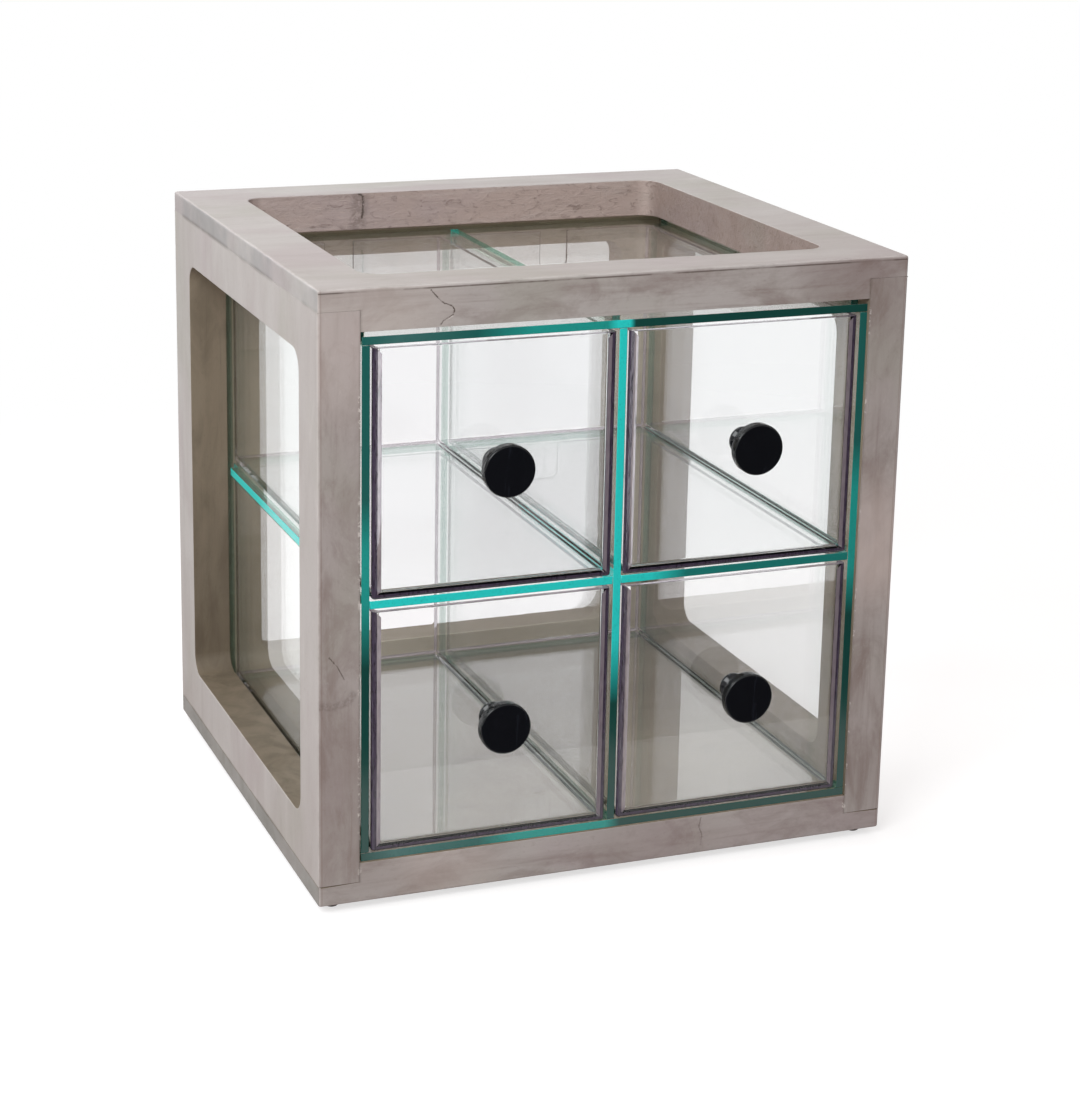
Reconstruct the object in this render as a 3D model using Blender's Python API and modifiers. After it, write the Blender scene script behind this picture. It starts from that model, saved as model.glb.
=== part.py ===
# Bread display case for a counter: a wooden case with a window in its top, sides and back,
# a clear liner that parts the inside into four compartments, and a clear drawer in each of them.
# Metres, +Z up. X runs across the case and the drawers pull out toward -Y.
# The origin is on the ground, under the middle of the whole object with its knobs.

import math

import bmesh
import bpy
from mathutils import Vector

# Wooden case: every board has one thickness, and the top and bottom boards are rabbeted for the sides
case_width = 0.368
case_height = 0.368
case_depth = 0.336
board = 0.025
rabbet_height = 0.0125
arris_radius = 0.0015

# Windows, as borders left between a window and the case's outside; the back's is from its board's edge
window_radius = 0.0125
top_side_border = 0.0375
top_front_border = 0.035
top_back_border = 0.039
side_front_border = 0.038
side_back_border = 0.038
side_high_border = 0.0425
side_low_border = 0.043
back_side_border = 0.0277
back_end_border = 0.0195

# Clear liner: a box of panels joined by tabs, with a shelf and a divider halved across each other
panel = 0.0048
liner_side_gap = 0.001
liner_top_gap = 0.003
liner_back_gap = 0.004
front_setback = 0.0005
tab_inset = 0.012

# Drawers: moulded bins with a finger notch in the back wall
bin_wall = 0.003
bin_outer_radius = 0.002
bin_inner_radius = 0.003
bin_side_gap = 0.0016
bin_top_gap = 0.002
bin_back_gap = 0.0006
notch_width = 0.020
notch_depth = 0.026
notch_radius = 0.005

# Knob, with the brass insert moulded into it and the screw that holds it on the drawer's front
knob_reach = 0.0245
knob_rise = 0.003
cap_diameter = 0.031
cap_thickness = 0.0065
cap_edge_radius = 0.001
neck_diameter = 0.013
flange_diameter = 0.0172
flange_thickness = 0.003
flange_slope = 0.002
insert_diameter = 0.007
insert_length = 0.010
screw_diameter = 0.004
screw_length = 0.011
screw_head_diameter = 0.008
screw_head_height = 0.0026
washer_diameter = 0.010
washer_thickness = 0.0008

# Feet stuck under the bottom board
foot_height = 0.005
foot_diameter = 0.011
foot_tip_diameter = 0.007
foot_inset_side = 0.0115
foot_inset_front = 0.0125

# Gap between seated pieces and round a screw, how far a cutter runs past what it cuts, and what is welded
fit_gap = 0.0003
overrun = 0.004
weld_distance = 0.00001

# Counts of segments
corner_segments = 5
edge_segments = 2
turn_steps = 32

# Worked out from the sizes above
knob_overhang = knob_reach - front_setback
overall_depth = case_depth + knob_overhang
front_y = knob_overhang - overall_depth / 2
back_y = front_y + case_depth
case_low = foot_height
case_high = case_low + case_height
left_x = -case_width / 2
right_x = case_width / 2
back_inner_y = back_y - board
inner_low = case_low + board
inner_high = case_high - board

liner_width = case_width - 2 * board - 2 * liner_side_gap
liner_front_y = front_y + front_setback
liner_back_y = back_inner_y - liner_back_gap
liner_depth = liner_back_y - liner_front_y
liner_y = (liner_front_y + liner_back_y) / 2
liner_low = inner_low + fit_gap
liner_high = inner_high - liner_top_gap
wall_low = liner_low + panel + fit_gap
wall_high = liner_high - panel - fit_gap
wall_height = wall_high - wall_low
wall_z = (wall_low + wall_high) / 2
wall_x = (liner_width - panel) / 2
shelf_z = (liner_low + liner_high) / 2
shelf_width = liner_width - 2 * panel - 2 * fit_gap
compartment_width = (liner_width - 3 * panel) / 2
compartment_height = (liner_high - liner_low - 3 * panel) / 2
tab_length = liner_depth - 2 * tab_inset
halving_width = panel + 2 * fit_gap
halving_depth = liner_depth / 2 + fit_gap

drawer_x = (compartment_width + panel) / 2
drawer_floors = (liner_low + panel + fit_gap, shelf_z + panel / 2 + fit_gap)
bin_width = compartment_width - 2 * bin_side_gap
bin_height = compartment_height - bin_top_gap - fit_gap
bin_depth = back_inner_y - bin_back_gap - liner_front_y
knob_z = bin_height / 2 + knob_rise
bore_radius = screw_diameter / 2 + fit_gap


def clear_scene():
    for item in list(bpy.data.objects):
        bpy.data.objects.remove(item, do_unlink=True)


def new_collection(name):
    group = bpy.data.collections.new(name)
    bpy.context.scene.collection.children.link(group)
    return group


def new_material(name, colour, roughness, metallic=0.0, transmission=0.0):
    material = bpy.data.materials.new(name)
    material.use_nodes = True
    shader = material.node_tree.nodes["Principled BSDF"]
    shader.inputs["Base Color"].default_value = (*colour, 1.0)
    shader.inputs["Roughness"].default_value = roughness
    shader.inputs["Metallic"].default_value = metallic
    shader.inputs["Transmission Weight"].default_value = transmission
    material.diffuse_color = (*colour, 1.0)
    return material


def add_object(name, data, group, location, rotation=(0, 0, 0), parent=None, material=None):
    thing = bpy.data.objects.new(name, data)
    group.objects.link(thing)
    thing.location = location
    thing.rotation_euler = rotation
    thing.parent = parent
    if material:
        data.materials.append(material)
    return thing


# A block's mesh, centred on its own origin, with the edges along one axis or along all of them rounded
def block_mesh(name, size, radius=0.0, along=None, segments=edge_segments):
    shape = bmesh.new()
    bmesh.ops.create_cube(shape, size=1)
    bmesh.ops.scale(shape, vec=Vector(size), verts=shape.verts)
    if radius:
        chosen = []
        for edge in shape.edges:
            run = edge.verts[1].co - edge.verts[0].co
            if along is None or abs(run[along]) > run.length / 2:
                chosen.append(edge)
        bmesh.ops.bevel(shape, geom=chosen, offset=radius, segments=segments, profile=0.5, affect="EDGES")
    mesh = bpy.data.meshes.new(name)
    shape.to_mesh(mesh)
    shape.free()
    return mesh


# The size and the middle of a box given by its two ends on each axis
def span(x_ends, y_ends, z_ends):
    ends = (x_ends, y_ends, z_ends)
    size = tuple(high - low for low, high in ends)
    middle = tuple((high + low) / 2 for low, high in ends)
    return size, middle


def add_cutter(name, size, location, parent=None, radius=0.0, along=None, segments=corner_segments):
    mesh = block_mesh(name, size, radius, along, segments)
    tool = add_object(name, mesh, cutters, location, parent=parent)
    tool.hide_render = True
    tool.display_type = "WIRE"
    return tool


def cut(piece, tool, operation="DIFFERENCE"):
    boolean = piece.modifiers.new(tool.name, "BOOLEAN")
    boolean.operation = operation
    boolean.solver = "EXACT"
    boolean.object = tool


# A shape turned about its own Z axis from a profile of (radius, height) points, outer side top to bottom
def turned_mesh(name, profile, closed=False):
    shape = bmesh.new()
    points = [shape.verts.new((radius, 0, height)) for radius, height in profile]
    for start, end in zip(points, points[1:]):
        shape.edges.new((start, end))
    if closed:
        shape.edges.new((points[-1], points[0]))
    mesh = bpy.data.meshes.new(name)
    shape.to_mesh(mesh)
    shape.free()
    return mesh


def add_turned(name, profile, location, rotation, parent, material, closed=False):
    piece = add_object(name, turned_mesh(name, profile, closed), parts, location, rotation, parent, material)
    screw = piece.modifiers.new("turn", "SCREW")
    screw.steps = turn_steps
    screw.render_steps = turn_steps
    screw.use_merge_vertices = True
    screw.merge_threshold = weld_distance
    screw.use_smooth_shade = True
    return piece


# Points of a quarter circle from one angle to another, in degrees
def arc(centre_radius, centre_height, radius, start, end, steps=3):
    points = []
    for step in range(steps + 1):
        angle = math.radians(start + (end - start) * step / steps)
        points.append((centre_radius + radius * math.cos(angle), centre_height + radius * math.sin(angle)))
    return points


# Outline of a flat panel, length along local X. Along its low and its high edge runs one long tab,
# or a notch where its reach is negative. A halving is a slot from the front or the rear end.
def panel_outline(height, half_tab, low_reach, high_reach, front_halving=False, rear_halving=False):
    end = liner_depth / 2
    edge = height / 2
    half_slot = halving_width / 2
    low_tab = -edge - low_reach
    high_tab = edge + high_reach
    points = [(-end, -edge), (-half_tab, -edge), (-half_tab, low_tab), (half_tab, low_tab)]
    points += [(half_tab, -edge), (end, -edge)]
    if rear_halving:
        inner = end - halving_depth
        points += [(end, -half_slot), (inner, -half_slot), (inner, half_slot), (end, half_slot)]
    points += [(end, edge), (half_tab, edge), (half_tab, high_tab), (-half_tab, high_tab)]
    points += [(-half_tab, edge), (-end, edge)]
    if front_halving:
        inner = halving_depth - end
        points += [(-end, half_slot), (inner, half_slot), (inner, -half_slot), (-end, -half_slot)]
    return points


# A slot right through a panel for another one's tab, at a height above or below the panel's middle
def tab_slot(height):
    half_length = tab_length / 2 + fit_gap
    low = height - panel / 2 - fit_gap
    high = height + panel / 2 + fit_gap
    return [(-half_length, low), (-half_length, high), (half_length, high), (half_length, low)]


def add_panel(name, outline, slots, location, rotation):
    flat = bpy.data.curves.new(name, "CURVE")
    flat.dimensions = "2D"
    flat.fill_mode = "BOTH"
    flat.extrude = panel / 2
    for loop in (outline, *slots):
        spline = flat.splines.new("POLY")
        spline.points.add(len(loop) - 1)
        for point, (along, across) in zip(spline.points, loop):
            point.co = (along, across, 0, 1)
        spline.use_cyclic_u = True
    guide = add_object(name + "_outline", flat, parts, location, rotation)
    bpy.context.view_layer.update()
    evaluated = guide.evaluated_get(bpy.context.evaluated_depsgraph_get())
    mesh = bpy.data.meshes.new_from_object(evaluated)
    mesh.name = name
    shape = bmesh.new()
    shape.from_mesh(mesh)
    bmesh.ops.remove_doubles(shape, verts=shape.verts, dist=weld_distance)
    bmesh.ops.recalc_face_normals(shape, faces=shape.faces)
    shape.to_mesh(mesh)
    shape.free()
    piece = bpy.data.objects.new(name, mesh)
    piece.matrix_world = guide.matrix_world.copy()
    parts.objects.link(piece)
    mesh.materials.append(acrylic)
    bpy.data.objects.remove(guide, do_unlink=True)
    return piece


# A board's blank runs past the case on the outside, and the case's rounded envelope trims it there
def add_board(name, x_ends, y_ends, z_ends):
    size, middle = span(x_ends, y_ends, z_ends)
    piece = add_object(name, block_mesh(name, size), parts, middle, material=wood)
    cut(piece, envelope, "INTERSECT")
    return piece


def add_window(piece, x_ends, y_ends, z_ends, along):
    size, middle = span(x_ends, y_ends, z_ends)
    cut(piece, add_cutter(piece.name + "_window", size, middle, radius=window_radius, along=along))


def make_case():
    full_x = (left_x - overrun, right_x + overrun)
    full_y = (front_y - overrun, back_y + overrun)
    low_z = (case_low - overrun, inner_low)
    high_z = (inner_high, case_high + overrun)
    left_wall = (left_x - overrun, left_x + board)
    right_wall = (right_x - board, right_x + overrun)
    low_rabbet = case_low + rabbet_height
    high_rabbet = case_high - rabbet_height

    top_board = add_board("top_board", full_x, full_y, high_z)
    bottom_board = add_board("bottom_board", full_x, full_y, low_z)
    cut_y = (front_y - 2 * overrun, back_y + 2 * overrun)
    shoulders = {
        "left": (left_x - 2 * overrun, left_x + board + fit_gap),
        "right": (right_x - board - fit_gap, right_x + 2 * overrun),
    }
    for side, shoulder in shoulders.items():
        size, middle = span(shoulder, cut_y, (inner_high - overrun, high_rabbet))
        cut(top_board, add_cutter("top_rabbet_" + side, size, middle))
        size, middle = span(shoulder, cut_y, (low_rabbet, inner_low + overrun))
        cut(bottom_board, add_cutter("bottom_rabbet_" + side, size, middle))

    side_z = (low_rabbet + fit_gap, high_rabbet - fit_gap)
    left_board = add_board("left_board", left_wall, full_y, side_z)
    right_board = add_board("right_board", right_wall, full_y, side_z)
    back_x = (left_x + board + fit_gap, right_x - board - fit_gap)
    back_z = (inner_low + fit_gap, inner_high - fit_gap)
    back_board = add_board("back_board", back_x, (back_inner_y, back_y + overrun), back_z)

    window_x = (left_x + top_side_border, right_x - top_side_border)
    window_y = (front_y + top_front_border, back_y - top_back_border)
    add_window(top_board, window_x, window_y, (inner_high - overrun, case_high + overrun), 2)
    window_y = (front_y + side_front_border, back_y - side_back_border)
    window_z = (case_low + side_low_border, case_high - side_high_border)
    add_window(left_board, (left_x - overrun, left_x + board + overrun), window_y, window_z, 0)
    add_window(right_board, (right_x - board - overrun, right_x + overrun), window_y, window_z, 0)
    window_x = (back_x[0] + back_side_border, back_x[1] - back_side_border)
    window_z = (back_z[0] + back_end_border, back_z[1] - back_end_border)
    add_window(back_board, window_x, (back_inner_y - overrun, back_y + overrun), window_z, 1)


def make_liner():
    flat = (0, 0, math.radians(90))
    upright = (math.radians(90), 0, math.radians(90))
    half_tab = tab_length / 2
    through = panel + fit_gap
    plate = panel_outline(liner_width, half_tab + fit_gap, -through, -through)
    add_panel("liner_bottom", plate, [tab_slot(0)], (0, liner_y, liner_low + panel / 2), flat)
    add_panel("liner_top", plate, [tab_slot(0)], (0, liner_y, liner_high - panel / 2), flat)

    wall = panel_outline(wall_height, half_tab, through, inner_high - fit_gap - wall_high)
    shelf_slot = tab_slot(shelf_z - wall_z)
    add_panel("liner_left", wall, [shelf_slot], (-wall_x, liner_y, wall_z), upright)
    add_panel("liner_right", wall, [shelf_slot], (wall_x, liner_y, wall_z), upright)

    outline = panel_outline(wall_height, half_tab, through, through, rear_halving=True)
    add_panel("divider", outline, [], (0, liner_y, wall_z), upright)
    outline = panel_outline(shelf_width, half_tab, through, through, front_halving=True)
    add_panel("shelf", outline, [], (0, liner_y, shelf_z), flat)


def knob_profile():
    cap_radius = cap_diameter / 2
    cap_back = knob_reach - cap_thickness
    rim = cap_radius - cap_edge_radius
    insert_bore = insert_diameter / 2 + fit_gap
    bore_depth = fit_gap + insert_length + fit_gap
    points = [(0, knob_reach)]
    points += reversed(arc(rim, knob_reach - cap_edge_radius, cap_edge_radius, 0, 90))
    points += [(cap_radius, cap_back), (neck_diameter / 2, cap_back)]
    points += [(neck_diameter / 2, flange_thickness + flange_slope), (flange_diameter / 2, flange_thickness)]
    points += [(flange_diameter / 2, fit_gap), (insert_bore, fit_gap)]
    points += [(insert_bore, bore_depth + fit_gap), (0, bore_depth + fit_gap)]
    return points


def insert_profile():
    outer = insert_diameter / 2
    low = 2 * fit_gap
    high = low + insert_length
    return [(outer, high), (outer, low), (bore_radius, low), (bore_radius, high)]


def screw_profile():
    seat = -bin_wall - 2 * fit_gap - washer_thickness
    tip = seat + screw_length
    head_radius = screw_head_diameter / 2
    shank_radius = screw_diameter / 2
    head_end = seat - screw_head_height
    points = [(0, tip), (shank_radius, tip), (shank_radius, seat), (head_radius, seat)]
    crown = screw_head_height / 2
    points += arc(head_radius - crown, head_end + crown, crown, 0, -90)
    points.append((0, head_end))
    return points


def washer_profile():
    high = -bin_wall - fit_gap
    low = high - washer_thickness
    outer = washer_diameter / 2
    return [(outer, high), (outer, low), (bore_radius, low), (bore_radius, high)]


# A drawer hangs from an empty at the foot of its front, on the line that it slides along
def make_drawer(name, x, floor_z):
    slide = bpy.data.objects.new(name + "_drawer", None)
    parts.objects.link(slide)
    slide.location = (x, liner_front_y, floor_z)

    size = (bin_width, bin_depth, bin_height)
    middle = (0, bin_depth / 2, bin_height / 2)
    mesh = block_mesh(name + "_bin", size, bin_outer_radius)
    bin_body = add_object(name + "_bin", mesh, parts, middle, parent=slide, material=clear_plastic)

    half_width = bin_width / 2
    inside_x = (bin_wall - half_width, half_width - bin_wall)
    size, middle = span(inside_x, (bin_wall, bin_depth - bin_wall), (bin_wall, bin_height + overrun))
    cut(bin_body, add_cutter(name + "_inside", size, middle, slide, bin_inner_radius, segments=edge_segments))

    notch_x = (-notch_width / 2, notch_width / 2)
    notch_y = (bin_depth - bin_wall - overrun, bin_depth + overrun)
    notch_z = (bin_height - notch_depth, bin_height + notch_radius + overrun)
    size, middle = span(notch_x, notch_y, notch_z)
    cut(bin_body, add_cutter(name + "_notch", size, middle, slide, notch_radius, 1))

    drill = bmesh.new()
    drill_length = bin_wall + 2 * overrun
    bmesh.ops.create_cone(drill, cap_ends=True, segments=turn_steps, radius1=bore_radius,
                          radius2=bore_radius, depth=drill_length)
    mesh = bpy.data.meshes.new(name + "_screw_hole")
    drill.to_mesh(mesh)
    drill.free()
    facing = (math.radians(90), 0, 0)
    hole = add_object(name + "_screw_hole", mesh, cutters, (0, bin_wall / 2, knob_z), facing, slide)
    hole.hide_render = True
    hole.display_type = "WIRE"
    cut(bin_body, hole)

    place = (0, 0, knob_z)
    add_turned(name + "_knob", knob_profile(), place, facing, slide, black_plastic)
    add_turned(name + "_knob_insert", insert_profile(), place, facing, slide, brass, closed=True)
    add_turned(name + "_knob_screw", screw_profile(), place, facing, slide, steel)
    add_turned(name + "_knob_washer", washer_profile(), place, facing, slide, steel, closed=True)


def make_drawers():
    for level, floor_z in zip(("lower", "upper"), drawer_floors):
        make_drawer(level + "_left", -drawer_x, floor_z)
        make_drawer(level + "_right", drawer_x, floor_z)


def make_feet():
    top = foot_height - fit_gap
    outer = foot_diameter / 2
    shoulder = foot_height / 2
    profile = [(0, top), (outer, top), (outer, shoulder), (foot_tip_diameter / 2, 0), (0, 0)]
    x = right_x - foot_inset_side
    y_places = {"front": front_y + foot_inset_front, "back": back_y - foot_inset_front}
    for end, y in y_places.items():
        for side, sign in (("left", -1), ("right", 1)):
            add_turned("foot_" + end + "_" + side, profile, (sign * x, y, 0), (0, 0, 0), None, rubber)


clear_scene()
parts = new_collection("bread_display_case")
cutters = new_collection("cutters")
wood = new_material("grey_washed_wood", (0.35, 0.30, 0.28), 0.6)
acrylic = new_material("green_edged_acrylic", (0.55, 0.80, 0.75), 0.05, transmission=1.0)
clear_plastic = new_material("clear_moulded_plastic", (0.85, 0.84, 0.88), 0.08, transmission=1.0)
black_plastic = new_material("black_plastic", (0.01, 0.01, 0.012), 0.3)
brass = new_material("brass", (0.70, 0.52, 0.22), 0.3, metallic=1.0)
steel = new_material("zinc_plated_steel", (0.62, 0.62, 0.60), 0.3, metallic=1.0)
rubber = new_material("foot_rubber", (0.09, 0.08, 0.075), 0.7)

envelope = add_cutter("case_envelope", (case_width, case_depth, case_height),
                      (0, (front_y + back_y) / 2, (case_low + case_high) / 2),
                      radius=arris_radius, segments=edge_segments)
make_case()
make_liner()
make_drawers()
make_feet()
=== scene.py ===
import math

import bpy
from mathutils import Matrix, Vector


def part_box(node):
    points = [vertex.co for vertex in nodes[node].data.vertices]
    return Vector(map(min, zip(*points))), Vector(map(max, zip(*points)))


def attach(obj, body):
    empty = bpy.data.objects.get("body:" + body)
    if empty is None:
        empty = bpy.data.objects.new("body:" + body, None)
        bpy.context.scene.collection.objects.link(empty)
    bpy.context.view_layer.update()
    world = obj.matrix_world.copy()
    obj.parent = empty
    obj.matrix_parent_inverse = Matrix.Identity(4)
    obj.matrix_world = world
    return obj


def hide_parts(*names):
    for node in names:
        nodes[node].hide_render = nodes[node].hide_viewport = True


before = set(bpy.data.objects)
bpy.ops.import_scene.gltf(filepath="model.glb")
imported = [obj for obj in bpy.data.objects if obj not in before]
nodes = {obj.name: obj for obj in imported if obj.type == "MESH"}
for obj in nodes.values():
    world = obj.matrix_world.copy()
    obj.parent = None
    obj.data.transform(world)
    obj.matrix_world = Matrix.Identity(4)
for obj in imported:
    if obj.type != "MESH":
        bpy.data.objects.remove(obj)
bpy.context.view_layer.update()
caseLow = Vector((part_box("left_board")[0].x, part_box("top_board")[0].y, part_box("bottom_board")[0].z))
caseHigh = Vector((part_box("right_board")[1].x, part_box("top_board")[1].y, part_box("top_board")[1].z))
skin = 0.0004  # what lies this near a face's plane, in metres, counts as on it
hair = 1e-4  # room when two places are compared
print("case loaded:", len(nodes), "nodes")


# small helpers

def tone(red, green, blue):  # a colour as it reads on screen, 0 to 255
    values = []
    for part in (red, green, blue):
        part = part / 255
        values.append(part / 12.92 if part <= 0.04045 else ((part + 0.055) / 1.055) ** 2.4)
    return (*values, 1.0)


def deselectAll():
    if bpy.context.mode != "OBJECT":
        bpy.ops.object.mode_set(mode="OBJECT")
    bpy.ops.object.select_all(action="DESELECT")


def makeActive(piece):
    deselectAll()
    piece.select_set(True)
    bpy.context.view_layer.objects.active = piece


def settle(name):  # names the new piece, and puts its place, turn and size into its mesh
    piece = bpy.context.object
    piece.name = name
    bpy.ops.object.transform_apply(location=True, rotation=True, scale=True)
    return piece


def addBlock(name, low, high):
    deselectAll()
    size = [top - bottom for bottom, top in zip(low, high)]
    middle = [(top + bottom) / 2 for bottom, top in zip(low, high)]
    bpy.ops.mesh.primitive_cube_add(size=1, location=middle, scale=size)
    return settle(name)


def addRod(name, radius, length, centre, sides=64):  # a round bar that lies along Y
    deselectAll()
    bpy.ops.mesh.primitive_cylinder_add(vertices=sides, radius=radius, depth=length, location=centre,
                                        rotation=(math.radians(90), 0, 0))
    return settle(name)


def clearPicks(piece, kind):
    makeActive(piece)
    bpy.context.tool_settings.mesh_select_mode = (False, kind == "edges", kind == "faces")
    bpy.ops.object.mode_set(mode="EDIT")
    bpy.ops.mesh.select_all(action="DESELECT")
    bpy.ops.object.mode_set(mode="OBJECT")


def pickEdges(piece, wanted):  # opens edit mode with the edges whose ends pass the test
    clearPicks(piece, "edges")
    spots = piece.data.vertices
    for edge in piece.data.edges:
        edge.select = wanted(spots[edge.vertices[0]].co, spots[edge.vertices[1]].co)
    bpy.ops.object.mode_set(mode="EDIT")


def pickFaces(piece, wanted):  # opens edit mode with the faces that pass the test
    clearPicks(piece, "faces")
    for face in piece.data.polygons:
        face.select = wanted(face.center, face.normal)
    bpy.ops.object.mode_set(mode="EDIT")


def leaveEdit():
    bpy.ops.object.mode_set(mode="OBJECT")


def roundPicked(radius, segments):
    bpy.ops.mesh.bevel(offset=radius, segments=segments, affect="EDGES", profile=0.5)
    leaveEdit()


def cutAway(piece, tool):
    makeActive(piece)
    cut = piece.modifiers.new("cut", "BOOLEAN")
    cut.operation = "DIFFERENCE"
    cut.solver = "EXACT"
    cut.object = tool
    bpy.ops.object.modifier_apply(modifier=cut.name)
    bpy.data.objects.remove(tool, do_unlink=True)


def windowTool(low, high, radius, axis):  # a block with the edges along one axis rounded
    tool = addBlock("windowTool", low, high)
    pickEdges(tool, lambda a, b: abs(a[axis] - b[axis]) > 0.001)
    roundPicked(radius, 10)
    return tool


def evenShading(piece):  # the flats stay flat, and only the rounded edges shade round
    makeActive(piece)
    bpy.ops.object.shade_smooth_by_angle(angle=math.radians(40))
    even = piece.modifiers.new("even", "WEIGHTED_NORMAL")
    even.keep_sharp = True
    even.weight = 100
    bpy.ops.object.modifier_apply(modifier=even.name)


def breakEdges(piece, width, sharpness=30, segments=2, weightFor=None):
    makeActive(piece)
    bevel = piece.modifiers.new("bevel", "BEVEL")
    bevel.width = width
    bevel.segments = segments
    if weightFor:
        weights = piece.data.attributes.new("bevel_weight_edge", "FLOAT", "EDGE")
        spots = piece.data.vertices
        sides = {}
        for face in piece.data.polygons:
            for key in face.edge_keys:
                sides.setdefault(key, []).append(face.normal.copy())
        for edge in piece.data.edges:
            a, b = spots[edge.vertices[0]].co, spots[edge.vertices[1]].co
            pair = sides.get(edge.key, [])
            bent = len(pair) == 2 and pair[0].angle(pair[1]) > math.radians(sharpness)
            weights.data[edge.index].value = weightFor(a, b) if bent else 0.0
        bevel.limit_method = "WEIGHT"
    else:
        bevel.limit_method = "ANGLE"
        bevel.angle_limit = math.radians(sharpness)
    bpy.ops.object.modifier_apply(modifier=bevel.name)
    evenShading(piece)


def lightPasses(piece):  # clear pieces neither shade what is behind them nor catch scattered light
    piece.visible_shadow = False
    piece.visible_diffuse = False


def copyMoved(piece, name, move):  # a copy with its own mesh, moved in the mesh
    twin = piece.copy()
    twin.data = piece.data.copy()
    twin.name = name
    bpy.context.scene.collection.objects.link(twin)
    twin.data.transform(Matrix.Translation(move))
    return twin


def standIn(piece, body, node, finish):
    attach(piece, body)
    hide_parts(node)


# node helpers

class shaderBench:  # builds one material's nodes
    def __init__(self, name):
        self.material = bpy.data.materials.new(name)
        self.material.use_nodes = True
        self.nodes = self.material.node_tree.nodes
        self.links = self.material.node_tree.links
        self.shader = self.nodes["Principled BSDF"]
        self.surface = self.nodes["Material Output"].inputs["Surface"]

    def put(self, target, value):
        if isinstance(value, bpy.types.NodeSocket):
            self.links.new(value, target)
        elif value is not None:
            target.default_value = value

    def add(self, kind, inputs=None, **settings):
        node = self.nodes.new("ShaderNode" + kind)
        for key, value in settings.items():
            setattr(node, key, value)
        for key, value in (inputs or {}).items():
            self.put(node.inputs[key], value)
        return node

    def finish(self, colour, roughness, normal=None, others=None):
        values = {"Base Color": colour, "Roughness": roughness, "Normal": normal, **(others or {})}
        for key, value in values.items():
            self.put(self.shader.inputs[key], value)
        return self.material

    def halve(self, share, first, second):  # the surface is one shader where share is 0, the other where it is 1
        mix = self.add("MixShader", {0: share, 1: first, 2: second})
        self.links.new(mix.outputs[0], self.surface)
        return self.material

    def see(self, colour):
        return self.add("BsdfTransparent", {"Color": colour}).outputs[0]

    def here(self):
        return self.add("TexCoord").outputs["Object"]

    def apart(self, raw):
        return self.add("SeparateXYZ", {0: raw}).outputs

    def sum(self, operation, first, second=None):
        return self.add("Math", {0: first, 1: second}, operation=operation).outputs[0]

    def plus(self, first, second):
        return self.sum("ADD", first, second)

    def minus(self, first, second):
        return self.sum("SUBTRACT", first, second)

    def times(self, first, second):
        return self.sum("MULTIPLY", first, second)

    def lesser(self, first, second):
        return self.sum("MINIMUM", first, second)

    def greater(self, first, second):
        return self.sum("MAXIMUM", first, second)

    def span(self, value):
        return self.sum("ABSOLUTE", value)

    def spread(self, value, low, high, outLow=0.0, outHigh=1.0):
        smooth = self.add("MapRange", {0: value, 1: low, 2: high, 3: outLow, 4: outHigh})
        smooth.interpolation_type = "SMOOTHSTEP"
        return smooth.outputs[0]

    def blend(self, factor, first, second):
        return self.add("Mix", {0: factor, 6: first, 7: second}, data_type="RGBA").outputs[2]

    def places(self, raw, scale=(1, 1, 1), turn=(0, 0, 0), move=(0, 0, 0)):
        values = {"Vector": raw, "Location": move, "Rotation": turn, "Scale": scale}
        return self.add("Mapping", values).outputs[0]

    def noise(self, places, scale, detail=4.0, roughness=0.55, distortion=0.0):
        values = {"Vector": places, "Scale": scale, "Detail": detail, "Roughness": roughness}
        values["Distortion"] = distortion
        return self.add("TexNoise", values).outputs["Fac"]

    def bump(self, height, strength, distance):
        return self.add("Bump", {"Height": height, "Strength": strength, "Distance": distance}).outputs[0]


# camera and light

view = {
    "place": (-0.575, -1.487, 0.664),
    "turn": (75.58, -0.93, -20.62),
    "focal": 2575.0,  # pixels of the photograph
    "middle": (513.0, 408.0),
    "photo": (1080.0, 1103.0),
}
longSide = max(view["photo"])
cameraData = bpy.data.cameras.new("camera")
cameraData.sensor_width = 36.0
cameraData.lens = view["focal"] * cameraData.sensor_width / longSide
cameraData.shift_x = (view["photo"][0] / 2 - view["middle"][0]) / longSide
cameraData.shift_y = (view["middle"][1] - view["photo"][1] / 2) / longSide
cameraData.clip_start = 0.05
camera = bpy.data.objects.new("camera", cameraData)
bpy.context.scene.collection.objects.link(camera)
camera.location = view["place"]
camera.rotation_euler = [math.radians(part) for part in view["turn"]]
bpy.context.scene.camera = camera
bpy.context.scene.view_settings.view_transform = "Standard"

studio = {
    "sky": (0.420, 0.370, 0.358),
    "floor": 30,
    "paper": (0.50, 0.50, 0.50, 1),  # as it is looked at
    "paperBounce": (0.40, 0.345, 0.325, 1),  # as it lights the case
    "paperGlow": 0.66,  # added where the paper is looked at, so that it reads white away from the shadow
    "glowReach": (0.45, 1.1),  # past this the paper is plain white to the viewer
    "aim": (0, 0, 0.2),
    "lampColour": (0.955, 0.985, 1.0),
    "lamps": {
        "upperLeft": {"place": (-0.92, -0.96, 1.16), "size": 0.75, "watts": 14.5},
        "leftSide": {"place": (-1.80, 0.35, 1.50), "size": 1.4, "watts": 12},
        "overhead": {"place": (-0.30, 0.55, 2.0), "size": 1.6, "watts": 10.5},
    },
    "flag": {"low": (-1.6, -3.4, 0.004), "high": (2.4, -0.34, 0.005), "felt": (0.050, 0.044, 0.066, 1)},
}


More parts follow.
